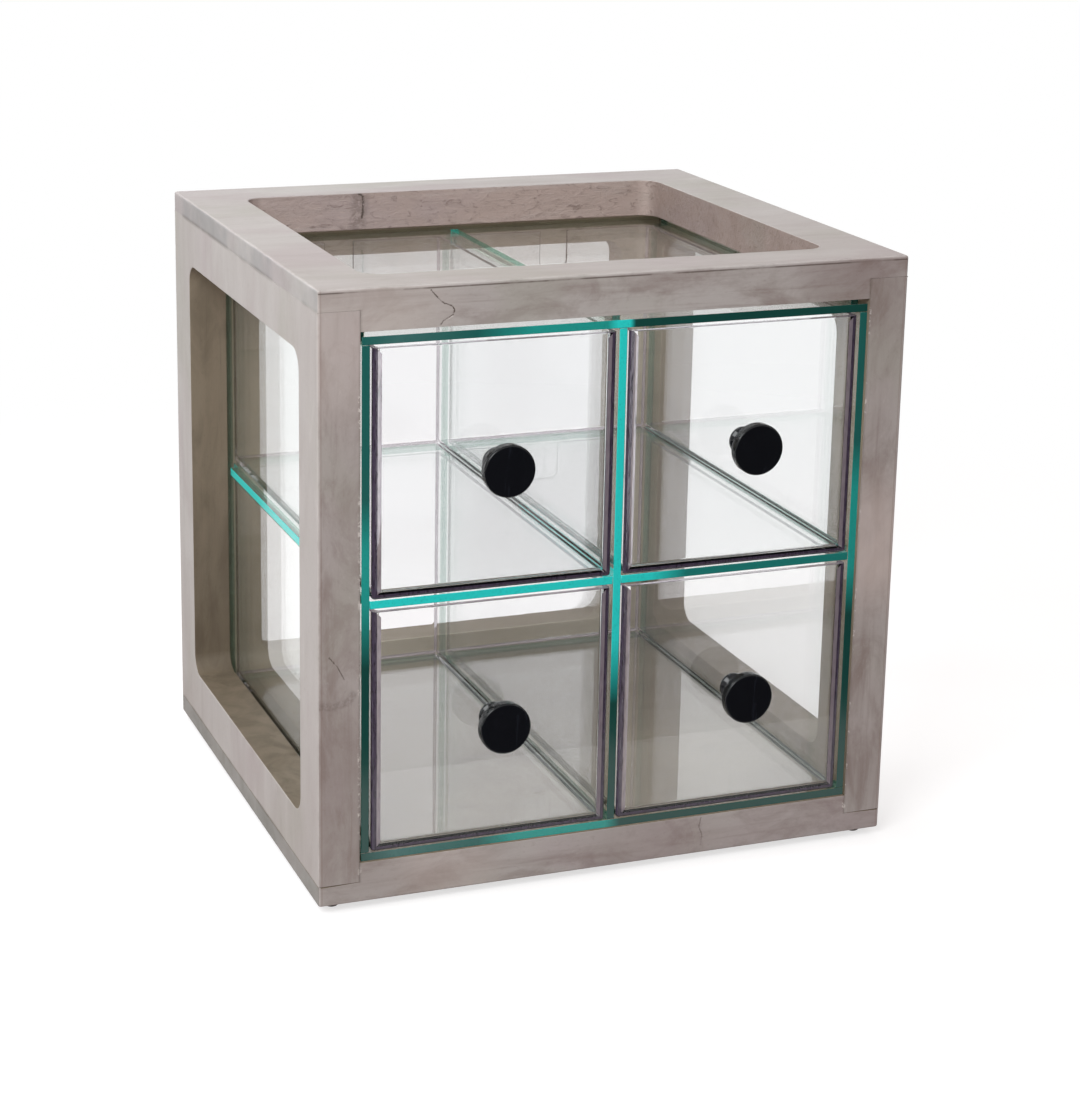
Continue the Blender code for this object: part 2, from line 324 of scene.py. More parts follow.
def whiteToViewer(tree, shader, white, target):  # the white where it is looked at, the shader elsewhere
    path = tree.nodes.new("ShaderNodeLightPath")
    seen = path.outputs["Is Camera Ray"]
    for name in ("Is Glossy Ray", "Is Transmission Ray"):
        either = tree.nodes.new("ShaderNodeMath")
        either.operation = "MAXIMUM"
        tree.links.new(seen, either.inputs[0])
        tree.links.new(path.outputs[name], either.inputs[1])
        seen = either.outputs[0]
    mix = tree.nodes.new("ShaderNodeMixShader")
    for index, socket in enumerate((seen, shader, white)):
        tree.links.new(socket, mix.inputs[index])
    tree.links.new(mix.outputs[0], target)


def buildStudio():
    world = bpy.data.worlds.new("studioAir")
    bpy.context.scene.world = world
    world.use_nodes = True
    tree = world.node_tree
    air = tree.nodes["Background"]
    air.inputs["Color"].default_value = (*studio["sky"], 1)
    white = tree.nodes.new("ShaderNodeBackground")
    white.inputs["Color"].default_value = (1, 1, 1, 1)
    whiteToViewer(tree, air.outputs[0], white.outputs[0], tree.nodes["World Output"].inputs["Surface"])
    for name, lamp in studio["lamps"].items():
        light = bpy.data.lights.new(name, "AREA")
        light.shape = "SQUARE"
        light.size = lamp["size"]
        light.energy = lamp["watts"]
        light.color = studio["lampColour"]
        holder = bpy.data.objects.new(name, light)
        bpy.context.scene.collection.objects.link(holder)
        holder.location = lamp["place"]
        holder.rotation_mode = "QUATERNION"
        aim = Vector(studio["aim"]) - Vector(lamp["place"])
        holder.rotation_quaternion = aim.to_track_quat("-Z", "Y")
        holder.visible_camera = False

    deselectAll()
    bpy.ops.mesh.primitive_plane_add(size=studio["floor"], location=(0, 0, 0))
    floor = bpy.context.object
    floor.name = "studioFloor"
    paper = shaderBench("studioPaper")
    paper.finish(studio["paperBounce"], 0.9, others={"Specular IOR Level": 0.2})
    plain = paper.add("BsdfDiffuse", {"Color": studio["paper"]})
    glow = paper.add("Emission", {"Color": (1, 1, 1, 1), "Strength": studio["paperGlow"]})
    lit = paper.add("AddShader", {0: plain.outputs[0], 1: glow.outputs[0]})
    white = paper.add("Emission", {"Color": (1, 1, 1, 1), "Strength": 1.0})
    away = paper.add("VectorMath", {0: paper.here()}, operation="LENGTH").outputs["Value"]
    far = paper.spread(away, *studio["glowReach"])
    looked = paper.add("MixShader", {0: far, 1: lit.outputs[0], 2: white.outputs[0]})
    whiteToViewer(paper.material.node_tree, paper.shader.outputs[0], looked.outputs[0], paper.surface)
    floor.data.materials.append(paper.material)

    flag = addBlock("studioFlag", studio["flag"]["low"], studio["flag"]["high"])  # keeps the knobs' gloss dark
    for ray in ("camera", "diffuse", "transmission", "volume_scatter", "shadow"):
        setattr(flag, "visible_" + ray, False)
    flag.data.materials.append(shaderBench("studioFelt").finish(studio["flag"]["felt"], 0.95))


buildStudio()
print("camera, lamps and floor stand")


# wood

woodLook = {
    "washed": {"pale": tone(191, 188, 185), "warm": tone(173, 165, 162), "streak": tone(138, 123, 117)},
    "rough": {"pale": tone(196, 180, 173), "warm": tone(174, 157, 149), "streak": tone(112, 95, 87)},
    "jamb": {"pale": tone(142, 131, 113), "warm": tone(122, 109, 90), "streak": tone(82, 72, 57)},
    # the bottom board's inside: darkened with painted shade that falls inside the case
    "inner": {"pale": tone(128, 118, 100), "warm": tone(110, 98, 80), "streak": tone(76, 66, 51)},
    # the back board's inside: its tone raised as painted light where little light reaches
    "lining": {"pale": tone(178, 172, 152), "warm": tone(160, 153, 133), "streak": tone(120, 112, 94)},
    "lilac": tone(178, 166, 168),
    "green": tone(171, 170, 160),
    "stain": tone(84, 72, 63),
    "filler": tone(226, 222, 218),
    # pale flecks and wear on the outside, also the painted highlight along the arrises
    "wearAndSheen": tone(206, 201, 198),
    # umber of the front's blotches, also the painted shade patches on the front
    "umberAndShade": tone(116, 94, 86),
    # painted light: the lighter patches on the front
    "paintedLightPatch": tone(216, 204, 198),
    "ends": tone(150, 150, 151),  # the top board's ends, which took the wash greyer
    "lowEnds": tone(124, 122, 117),
    "rim": tone(134, 108, 98),
}
woodNoise = {  # stretch along the grain, shift, scale, detail, roughness and distortion
    "bands": ((0.30, 1, 1), (0, 0, 0), 11.0, 4.0, 0.55, 0.6),
    "brush": ((0.07, 1, 1), (2, 5, 1), 95.0, 5.0, 0.6, 0.5),
    "mottle": ((0.32, 1, 1), (1, 3, 2), 48.0, 5.0, 0.6, 0.7),
    "grain": ((7, 260, 260), (0, 0, 0), 1.0, 6.0, 0.65, 0.25),
    "pores": ((60, 1500, 1500), (0, 0, 0), 1.0, 3.0, 0.6, 0.0),
    "flecks": ((0.5, 1, 1), (6, 2, 3), 620.0, 3.0, 0.6, 0.0),
    "lilac": ((0.6, 1, 1), (3.1, 0.4, 1.7), 11.0, 3.0, 0.5, 0.4),
    "blotch": ((0.55, 1, 1), (5, 2, 4), 34.0, 6.0, 0.68, 0.9),
    "torn": ((0.45, 1, 1), (4, 1, 6), 240.0, 6.0, 0.7, 0.8),
}
woodSteps = {  # for each shade: where it starts and is full in its pattern, and how strong it gets
    "lilac": (0.52, 0.68, 0.5),
    "green": (0.48, 0.32, 0.5),
    "brushDark": (0.50, 0.74, 0.13),
    "brushPale": (0.47, 0.27, 0.14),
    "mottleDark": (0.50, 0.71, 0.20),
    "mottlePale": (0.44, 0.26, 0.22),
    "grainDark": (0.56, 0.74, 0.16),
    "poreDark": (0.62, 0.76, 0.13),
    "fleckDark": (0.58, 0.70, 0.16),
    "fleckPale": (0.40, 0.30, 0.16),
    "tornDark": (0.52, 0.70, 0.6),
    "tornPale": (0.44, 0.32, 0.55),
    "endGrainAndShade": (0.1400, 0.1466, 0.62),  # metres from the middle: past it end grain drinks the stain, and painted shade darkens the window's side walls
    "blotch": (0.46, 0.66, 0.30),
    "shadeLowOnSides": (0.150, 0.020, 0.26),  # metres up a side: painted shade low on the sides
    "shadeTopFront": (0.170, -0.150, 0.34),  # metres back along the top: painted shade on the top's front
    "jambShadeLow": (0.235, 0.100, 0.50),  # metres up a window: painted shade towards its lower part
    "wearAndSheen": (0.0022, 0.0004, 0.45),  # metres from an arris: painted highlight there, with some wear
}
woodDepth = {"washed": 1.0, "rough": 2.1}  # how strong the shades are, 1.5 inside
frontRub = {"side": 0.45, "front": 2.1}  # the shades' strength beside the front, and what the front adds


def edgeDistance(wood, raw):  # metres from the nearest arris of the case
    x, y, z = wood.apart(raw)
    fromSide = wood.minus(caseHigh.x, wood.span(x))
    fromFront = wood.lesser(wood.minus(y, caseLow.y), wood.minus(caseHigh.y, y))
    fromTop = wood.lesser(wood.minus(z, caseLow.z), wood.minus(caseHigh.z, z))
    other = wood.lesser(wood.greater(fromSide, fromFront), fromTop)
    return wood.greater(wood.lesser(fromSide, fromFront), other)


def makeWood(name, look, grainTurn, move, extra=None):
    wood = shaderBench(name)
    tones = woodLook[look]
    streak = tones["streak"]
    outside = look in ("washed", "rough")
    pale = woodLook["wearAndSheen"] if outside else tones["pale"]
    depth = woodDepth.get(look, 1.5)
    raw = wood.here()
    x, y, z = wood.apart(raw)
    along = wood.places(raw, turn=grainTurn, move=move)  # the grain now runs along X

    def pattern(kind):
        stretch, shift, *values = woodNoise[kind]
        return wood.noise(wood.places(along, stretch, move=shift), *values)

    def share(value, step, by=1.0, strength=None):
        start, full, most = woodSteps[step]
        amount = wood.spread(value, start, full, 0, most * by)
        return amount if strength is None else wood.times(amount, strength)

    def layer(shade, *steps):
        return wood.blend(share(*steps), colour, shade)

    bands, brush, mottle, grain = pattern("bands"), pattern("brush"), pattern("mottle"), pattern("grain")
    pores, flecks = pattern("pores"), pattern("flecks")
    strength, calm = 1.0, 0.75
    if outside:  # the front was rubbed harder than the rest
        front = wood.sum("LESS_THAN", y, caseLow.y + skin)
        strength = wood.plus(wood.times(front, frontRub["front"]), frontRub["side"])
        calm = wood.plus(wood.times(front, 0.35), 0.45)
    colour = wood.blend(wood.spread(bands, 0.34, 0.66, 0, calm), tones["pale"], tones["warm"])
    if outside:
        lilac = pattern("lilac")
        colour = layer(woodLook["lilac"], lilac, "lilac")
        colour = layer(woodLook["green"], lilac, "green")
    colour = layer(streak, brush, "brushDark", depth, strength)
    colour = layer(pale, brush, "brushPale", depth)
    colour = layer(streak, mottle, "mottleDark", depth, strength)
    colour = layer(pale, mottle, "mottlePale")
    colour = layer(streak, grain, "grainDark", depth, strength)
    colour = layer(woodLook["stain"], pores, "poreDark", depth)
    colour = layer(streak, flecks, "fleckDark")
    colour = layer(pale, flecks, "fleckPale")
    spots = wood.add("TexVoronoi", {"Vector": along, "Scale": 55.0, "Randomness": 1.0})
    size = wood.spread(wood.noise(along, 23.0, 2.0), 0.60, 0.80, 0.0, 0.04)
    nick = wood.sum("LESS_THAN", spots.outputs["Distance"], size)
    colour = wood.blend(wood.times(nick, 0.6), colour, woodLook["stain"])
    height = wood.plus(wood.times(grain, 0.5), wood.times(pores, 0.35))
    height = wood.plus(height, wood.times(brush, 0.6))
    height = wood.minus(height, wood.times(nick, 1.5))
    if look == "rough":  # torn grain, left as it was sawn
        torn = pattern("torn")
        colour = layer(streak, torn, "tornDark")
        colour = layer(tones["pale"], torn, "tornPale")
        height = wood.plus(height, wood.times(torn, 2.4))
        colour = layer(streak, wood.span(x), "endGrainAndShade")
    if outside:  # browner blotches on the front, and painted shade low on the sides and on the top's front
        colour = layer(woodLook["umberAndShade"], pattern("blotch"), "blotch", 1.0, front)
        low = share(z, "shadeLowOnSides", 1.0, wood.minus(1.0, front))
        onTop = wood.sum("GREATER_THAN", z, caseHigh.z - skin)
        colour = wood.blend(wood.greater(low, share(y, "shadeTopFront", 1.0, onTop)), colour, streak)
    if look == "jamb":  # painted shade, darker towards the windows' lower parts and broken by the mottle
        patchy = wood.plus(wood.spread(mottle, 0.35, 0.65, -0.12, 0.12), share(z, "jambShadeLow"))
        colour = wood.blend(wood.greater(patchy, 0.0), colour, streak)
    # painted highlight along the arrises, with some wear, in patches
    if outside:
        patchy = wood.spread(wood.noise(raw, 60.0, 4.0, 0.65), 0.32, 0.58)
        colour = layer(woodLook["wearAndSheen"], edgeDistance(wood, raw), "wearAndSheen", 1.0, patchy)
    if extra:
        colour, height = extra(wood, raw, colour, height)
    bumps = wood.bump(height, 0.7 if look == "rough" else 0.25, 0.0006)
    return wood.finish(colour, wood.spread(mottle, 0.3, 0.75, 0.5, 0.68), bumps, {"Specular IOR Level": 0.5})


# a crack that wanders over an upright face: places are (height, sideways) pairs in metres, side is the face's y
def crackMask(wood, raw, places, width, side):
    x, y, z = wood.apart(raw)
    jitter = wood.times(wood.minus(wood.noise(raw, 900.0, 2.0, 0.7), 0.5), 0.0016)
    mask = None
    for (startZ, startX), (endZ, endX) in zip(places, places[1:]):
        length = math.hypot(endX - startX, endZ - startZ)
        runX, runZ = (endX - startX) / length, (endZ - startZ) / length
        fromX, fromZ = wood.minus(x, startX), wood.minus(z, startZ)
        climb = wood.plus(wood.times(fromX, runX), wood.times(fromZ, runZ))
        beside = wood.minus(wood.times(fromX, runZ), wood.times(fromZ, runX))
        near = wood.spread(wood.span(wood.plus(beside, jitter)), width, width * 0.35)
        past = wood.span(wood.minus(climb, length / 2))
        piece = wood.times(near, wood.spread(past, length / 2 + width, length / 2))
        mask = piece if mask is None else wood.greater(mask, piece)
    broken = wood.spread(wood.noise(raw, 330.0, 3.0, 0.7), 0.36, 0.54, 0.12, 1.0)
    flat = wood.add("Math", {0: y, 1: side, 2: skin}, operation="COMPARE").outputs[0]
    return wood.times(wood.times(mask, broken), flat)


boards = {
    "halfJoint": 0.0125,  # depth of the rabbets in the top and bottom boards
    "thickness": 0.025,
    "gap": 0.0001,
    "seat": 0.0002,  # how far the rabbets close on the side boards' ends
    "past": 0.01,  # how far a cutting block runs past its board
    "arris": 0.0015,
    "windowShare": 0.5,  # of the arris, round a window
    "jointShare": 0.08,  # of the arris, along a joint
    "windowRadius": 0.0125,
    "topWindow": {"x": (-0.1465, 0.1465), "y": (-0.121, 0.141)},
    "sideWindow": {"y": (-0.118, 0.142), "z": (0.048, 0.3305)},
    "backWindow": {"x": (-0.131, 0.131), "z": (0.0498, 0.3282)},
}
seamLook = {  # metres from each line where its shade starts and is full, and how strong it gets
    "sideLine": (0.0022, 0.0003, 0, 0.40),
    "frontLine": (0.0016, 0.0003, 0, 0.22),
    "filler": (0.0018, 0.0007),
    "rim": (0.0006, 0.0001, 0, 0.30),
    "rimInset": 0.0020,
    "topLine": (0.0007, 0.0001),
    "topLineDrop": 0.0022,
}
marks = {  # (height, sideways) along each mark of the wood
    "frontCrack": [(0.3696, -0.1178), (0.3659, -0.1147), (0.3628, -0.1117), (0.3612, -0.1092),
                   (0.3605, -0.1068), (0.3592, -0.1050), (0.3570, -0.1037), (0.3547, -0.1046),
                   (0.3532, -0.1074), (0.3513, -0.1104), (0.3488, -0.1122)],
    "frontChip": [(0.3538, -0.1050), (0.3527, -0.1070), (0.3518, -0.1084)],
    "jambCrack": [(0.3727, -0.0683), (0.3711, -0.0649), (0.3676, -0.0642), (0.3641, -0.0644),
                  (0.3593, -0.0647), (0.3560, -0.0652)],
    "jambStain": [(0.3720, -0.0668), (0.3600, -0.0668), (0.3481, -0.0690)],
    "lowerCrack": [(0.0104, 0.0605), (0.0170, 0.0612), (0.0225, 0.0590), (0.0283, 0.0601)],
    "stileCrack": [(0.1590, -0.1776), (0.1563, -0.1752), (0.1523, -0.1722), (0.1490, -0.1706),
                   (0.1447, -0.1684)],
    "stileSmudge": [(0.1294, -0.1830), (0.1288, -0.1740), (0.1307, -0.1660), (0.1350, -0.1630)],
}
frontLightAndShade = [  # painted light and shade on the front: height, sideways, reach, strength and tone
    (0.358, 0.150, 0.055, 0.42, "umberAndShade"), (0.195, 0.173, 0.060, 0.62, "paintedLightPatch"),
    (0.040, 0.175, 0.045, 0.22, "umberAndShade"), (0.340, -0.172, 0.060, 0.30, "paintedLightPatch"),
    (0.070, -0.172, 0.085, 0.40, "umberAndShade"), (0.017, -0.105, 0.045, 0.30, "paintedLightPatch"),
    (0.017, 0.020, 0.060, 0.18, "umberAndShade"), (0.362, -0.130, 0.040, 0.20, "paintedLightPatch"),
]


def outerPlanes(spot):
    near = set()
    for axis in range(3):
        for end, plane in enumerate((caseLow, caseHigh)):
            if abs(spot[axis] - plane[axis]) < 1e-5:
                near.add((axis, end))
    return near


def boardBreak(window, faceAxis):  # bevel weights: full on the case's arrises, less round the window
    def weight(a, b):
        if len(outerPlanes(a) & outerPlanes(b)) > 1:
            return 1.0
        for spot in (a, b):
            for key, (low, high) in window.items():
                if not low - hair < spot["xyz".index(key)] < high + hair:
                    return boards["jointShare"]
        return boards["windowShare"] if abs(a[faceAxis] - b[faceAxis]) < 1e-5 else 0.0
    return weight


def windowSpan(window, low, high):  # the window's block, run past both faces of its board
    start = [bottom - boards["past"] for bottom in low]
    end = [top + boards["past"] for top in high]
    for key, (bottom, top) in window.items():
        start["xyz".index(key)] = bottom
        end["xyz".index(key)] = top
    return start, end


def finishBoard(board, node, window, faceAxis, outside, inside):
    breakEdges(board, boards["arris"], segments=3, weightFor=boardBreak(window, faceAxis))
    board.data.materials.append(outside)
    board.data.materials.append(inside)
    middle = (caseLow + caseHigh) / 2

    def inWindow(spot):
        inside = [low - 2 * hair < spot["xyz".index(key)] < high + 2 * hair for key, (low, high) in window.items()]
        return bool(window) and all(inside)
    for face in board.data.polygons:
        outward = (face.center - middle)[faceAxis] * face.normal[faceAxis] > 0
        flat = abs(face.normal[faceAxis]) > 0.6
        face.material_index = 1 if (flat and not outward) or (inWindow(face.center) and not flat) else 0
    standIn(board, "case", node, "wood")


def seams(wood, raw, colour, height):  # shadow and filler along the joints, and the boards' greyer ends
    joint, stain = boards["halfJoint"], woodLook["stain"]
    x, y, z = wood.apart(raw)
    front = wood.sum("LESS_THAN", y, caseLow.y + skin)
    across = wood.span(x)
    flank = wood.sum("GREATER_THAN", across, caseHigh.x - skin)
    upper = wood.minus(z, caseHigh.z - joint)
    lower = wood.minus(caseLow.z + joint, z)
    patches = wood.spread(wood.noise(raw, 26.0, 3.0, 0.5), 0.40, 0.62)

    for beyond, least, most, shade in ((upper, 0.22, 0.50, "ends"), (lower, 0.72, 0.20, "lowEnds")):
        ends = wood.times(wood.spread(beyond, -0.0002, 0.0004), flank)
        ends = wood.times(ends, wood.plus(wood.times(patches, most), least))
        colour = wood.blend(ends, colour, woodLook[shade])
    line = wood.lesser(wood.span(upper), wood.span(lower))
    line = wood.times(wood.spread(line, *seamLook["sideLine"]), wood.times(flank, patches))
    colour = wood.blend(line, colour, stain)

    # patches of painted light and painted shade on the front
    flow = wood.plus(wood.times(wood.noise(raw, 38.0, 4.0, 0.6), 1.1), 0.45)
    for up, sideways, reach, strength, shade in frontLightAndShade:
        spot = wood.add("VectorMath", {0: raw, 1: (sideways, caseLow.y, up)}, operation="DISTANCE")
        patch = wood.spread(spot.outputs["Value"], reach, reach * 0.2, 0, strength)
        colour = wood.blend(wood.times(wood.times(patch, flow), front), colour, woodLook[shade])

    away = wood.span(wood.minus(across, caseHigh.x - boards["thickness"]))
    between = wood.times(front, wood.sum("LESS_THAN", wood.greater(upper, lower), 0.0003))
    line = wood.times(wood.spread(away, *seamLook["frontLine"]), between)
    colour = wood.blend(line, colour, stain)
    bits = wood.spread(wood.noise(raw, 330.0, 4.0, 0.7), 0.54, 0.60)
    bits = wood.times(wood.times(bits, wood.spread(away, *seamLook["filler"])), between)
    bits = wood.times(bits, wood.spread(wood.noise(raw, 30.0, 2.0), 0.48, 0.58, 0, 0.75))
    colour = wood.blend(bits, colour, woodLook["filler"])
    rim = wood.span(wood.minus(wood.minus(caseHigh.x, across), seamLook["rimInset"]))
    colour = wood.blend(wood.times(wood.spread(rim, *seamLook["rim"]), front), colour, woodLook["rim"])
    line = wood.span(wood.minus(wood.minus(caseHigh.z, z), seamLook["topLineDrop"]))  # under the top arris
    line = wood.times(wood.spread(line, *seamLook["topLine"]), front)
    line = wood.times(line, wood.spread(wood.noise(raw, 24.0, 4.0, 0.65), 0.40, 0.56, 0.08, 0.8))
    return wood.blend(line, colour, stain), height


def marked(*cuts):  # each cut: name, width, the face's y, strength and tone
    def mark(wood, raw, colour, height):
        colour, height = seams(wood, raw, colour, height)
        for name, width, side, strength, shade in cuts:
            mask = crackMask(wood, raw, marks[name], width, side)
            colour = wood.blend(wood.times(mask, strength), colour, woodLook[shade])
            if strength > 0.6:
                height = wood.minus(height, wood.times(mask, 2.0))
        return colour, height
    return mark


def cutEdges(wood, raw, colour, height):  # the back window's cut edges are browner than the lining
    y = wood.apart(raw)[1]
    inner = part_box("back_board")[0].y
    return wood.blend(wood.spread(y, inner + 0.0004, inner + 0.0012, 0, 0.75), colour, woodLook["jamb"]["warm"]), height


def buildBoards():
    layDown, standUp = (0, 0, 0), (0, math.radians(90), 0)
    past, joint, seat = boards["past"], boards["halfJoint"], boards["seat"]
    face, jamb = caseLow.y, boards["topWindow"]["y"][1]
    topMarks = marked(("frontCrack", 0.00055, face, 0.9, "stain"), ("frontChip", 0.0006, face, 0.55, "filler"))
    jambMarks = marked(("jambStain", 0.0080, jamb, 0.38, "stain"), ("jambCrack", 0.0009, jamb, 0.9, "stain"))
    lowMarks = marked(("lowerCrack", 0.0006, face, 0.5, "stain"))
    stileMarks = marked(("stileCrack", 0.0005, face, 0.8, "stain"), ("stileSmudge", 0.0032, face, 0.30, "stain"))
    woods = {
        "top_board": (makeWood("washedWoodTop", "washed", layDown, (0, 0, 0), topMarks),
                      makeWood("windowWoodTop", "rough", layDown, (0, 0.3, 0), jambMarks)),
        "bottom_board": (makeWood("washedWoodBottom", "washed", layDown, (1.3, 0.7, 2.1), lowMarks),
                         makeWood("shadedInsideWoodBottom", "inner", layDown, (1.3, 0.9, 2.1))),
        "left_board": (makeWood("washedWoodLeft", "washed", standUp, (2.2, 4.1, 0.3), stileMarks),
                       makeWood("windowWoodLeft", "jamb", standUp, (2.2, 4.4, 0.3))),
        "right_board": (makeWood("washedWoodRight", "washed", standUp, (5.2, 1.1, 3.3), seams),
                        makeWood("windowWoodRight", "jamb", standUp, (5.2, 1.4, 3.3))),
        "back_board": (makeWood("washedWoodBack", "washed", layDown, (7.7, 2.6, 5.0)),
                       makeWood("windowWoodBack", "lining", layDown, (7.7, 2.9, 5.0), cutEdges)),
    }
    plan = (("top_board", "topBoardWood", boards["topWindow"], 2), ("bottom_board", "bottomBoardWood", {}, 2),
            ("left_board", "leftBoardWood", boards["sideWindow"], 0),
            ("right_board", "rightBoardWood", boards["sideWindow"], 0),
            ("back_board", "backBoardWood", boards["backWindow"], 1))
    for node, name, window, faceAxis in plan:
        low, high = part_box(node)
        board = addBlock(name, low, high)
        heights = (low.z - past, high.z - joint - seat) if node == "top_board" else (low.z + joint + seat, high.z + past)
        for side in (-1, 1) if faceAxis == 2 else ():
            inner = side * (caseHigh.x - boards["thickness"] - boards["gap"])
            ends = sorted((inner, side * (caseHigh.x + past)))
            corners = [(end, depth, height) for end, depth, height in zip(ends, (low.y - past, high.y + past), heights)]
            cutAway(board, addBlock("rabbetTool", *corners))
        if window:
            cutAway(board, windowTool(*windowSpan(window, low, high), boards["windowRadius"], faceAxis))
        finishBoard(board, node, window, faceAxis, *woods[node])
    print("five boards cut, rabbeted and washed")


buildBoards()


# clear liner

liner = {
    "sheet": 0.0048,
    "gap": 0.0003,
    "past": 0.01,  # how far a cutting block runs past its sheet
    "edgeBreak": 0.00025,
    "tint": (0.984, 0.995, 0.989, 1),
    "halving": 0.15355,
    "tabInset": 0.012,
}
# the acrylic's edge teal in steps from bright to deep; the steps paint the glow of light that each edge gathers
edgeTonesAndGlow = {
    "bright": tone(44, 230, 224),
    "mid": tone(34, 166, 156),
    "teal": tone(28, 134, 126),
    "dark": tone(30, 104, 97),
    "deep": tone(14, 74, 66),
    "misty": tone(66, 118, 114),
}
sheetEdgeGlow = {  # name, the axis that the colour changes along, and (place in metres, tone) along it; the changes are painted glow, stronger and weaker along each front edge
    "liner_top": ("topSheetEdge", 0, [(-0.158, "dark"), (-0.137, "misty"), (-0.09, "dark"), (-0.055, "mid"),
                                      (-0.01, "mid"), (-0.004, "bright"), (0.004, "bright"), (0.007, "deep"),
                                      (0.158, "deep")]),
    "liner_bottom": ("bottomSheetEdge", 0, [(-0.158, "deep"), (-0.137, "misty"), (-0.085, "dark"),
                                            (-0.062, "mid"), (-0.004, "mid"), (0.006, "deep"), (0.158, "deep")]),
    "liner_left": ("leftSheetEdge", 2, [(0.03, "deep"), (0.15, "deep"), (0.19, "mid"), (0.22, "mid"),
                                        (0.25, "dark"), (0.345, "dark")]),
    "liner_right": ("rightSheetEdge", 2, [(0.03, "deep"), (0.15, "deep"), (0.18, "mid"), (0.23, "mid"),
                                          (0.26, "dark"), (0.345, "dark")]),
    "divider": ("dividerEdge", 2, [(0.03, "deep"), (0.11, "deep"), (0.15, "bright"), (0.345, "bright")]),
    "shelf": ("shelfEdge", 0, [(-0.158, "bright"), (0.022, "bright"), (0.045, "teal"), (0.158, "teal")]),
}


def makeClearSheet():
    sheet = shaderBench("clearAcrylic")
    facing = sheet.add("LayerWeight", {"Blend": 0.5}).outputs["Facing"]
    mirror = sheet.plus(sheet.times(sheet.sum("POWER", facing, 5.0), 0.96), 0.04)
    raw = sheet.here()
    smear = sheet.noise(sheet.places(raw, (1, 1, 0.25)), 30.0, 5.0, 0.65)
    gloss = sheet.add("BsdfGlossy", {"Color": (1, 1, 1, 1), "Roughness": sheet.spread(smear, 0.45, 0.8, 0.0, 0.05),
                                     "Normal": sheet.bump(sheet.noise(raw, 9.0, 1.0), 0.05, 0.002)})
    return sheet.halve(mirror, sheet.see(liner["tint"]), gloss.outputs[0])


# a front edge with its painted glow along a ramp, over the acrylic's teal
def makeGlowingSheetEdge(name, axis, stops):
    edge = shaderBench(name)
    raw = edge.here()
    low, high = stops[0][0], stops[-1][0]
    ramp = edge.add("ValToRGB", {0: edge.add("MapRange", {0: edge.apart(raw)[axis], 1: low, 2: high}).outputs[0]})
    elements = ramp.color_ramp.elements
    for index, (place, shade) in enumerate(stops):
        share = (place - low) / (high - low)
        between = 0 < index < len(stops) - 1
        stop = elements.new(share) if between else elements[0 if index == 0 else -1]
        stop.position = share
        stop.color = edgeTonesAndGlow[shade]
    lines = edge.noise(edge.places(raw, (14, 14, 14)), 60.0, 3.0)
    colour = edge.blend(edge.spread(lines, 0.5, 0.8, 0, 0.25), ramp.outputs[0], edgeTonesAndGlow["deep"])
    roughness, bumps = edge.spread(lines, 0.3, 0.7, 0.12, 0.22), edge.bump(lines, 0.08, 0.0003)
    return edge.finish(colour, roughness, bumps, {"Specular IOR Level": 0.5})


def makeClearEdge(name, body, through, least):  # the edges that aren't turned to the front: greener, half clear
    edge = shaderBench(name)
    lines = edge.noise(edge.places(edge.here(), (20, 20, 20)), 60.0, 3.0)
    edge.finish(edge.blend(edge.spread(lines, 0.4, 0.7), body, edgeTonesAndGlow["deep"]),
                edge.spread(lines, 0.3, 0.7, 0.08, 0.2))
    return edge.halve(edge.spread(lines, 0.3, 0.7, least, least + 0.2), edge.see(through), edge.shader.outputs[0])


clearSheet = makeClearSheet()
clearEdge = makeClearEdge("clearAcrylicEdge", tone(70, 128, 110), (0.62, 0.84, 0.76, 1), 0.35)
paleEdge = makeClearEdge("paleAcrylicEdge", tone(112, 128, 108), (0.80, 0.88, 0.80, 1), 0.12)


def finishSheet(sheet, node, axis):
    breakEdges(sheet, liner["edgeBreak"], segments=1)
    clear, frontEdge, otherEdge = 0, 1, 2
    for material in (clearSheet, makeGlowingSheetEdge(*sheetEdgeGlow[node]), paleEdge if node == "liner_top" else clearEdge):
        sheet.data.materials.append(material)
    for face in sheet.data.polygons:
        if abs(face.normal[axis]) > 0.98:
            face.material_index = clear
        else:
            bright = face.normal.y < -0.5 or (node == "shelf" and abs(face.normal.x) > 0.5)
            face.material_index = frontEdge if bright else otherEdge
    lightPasses(sheet)
    standIn(sheet, "case", node, "acrylic")


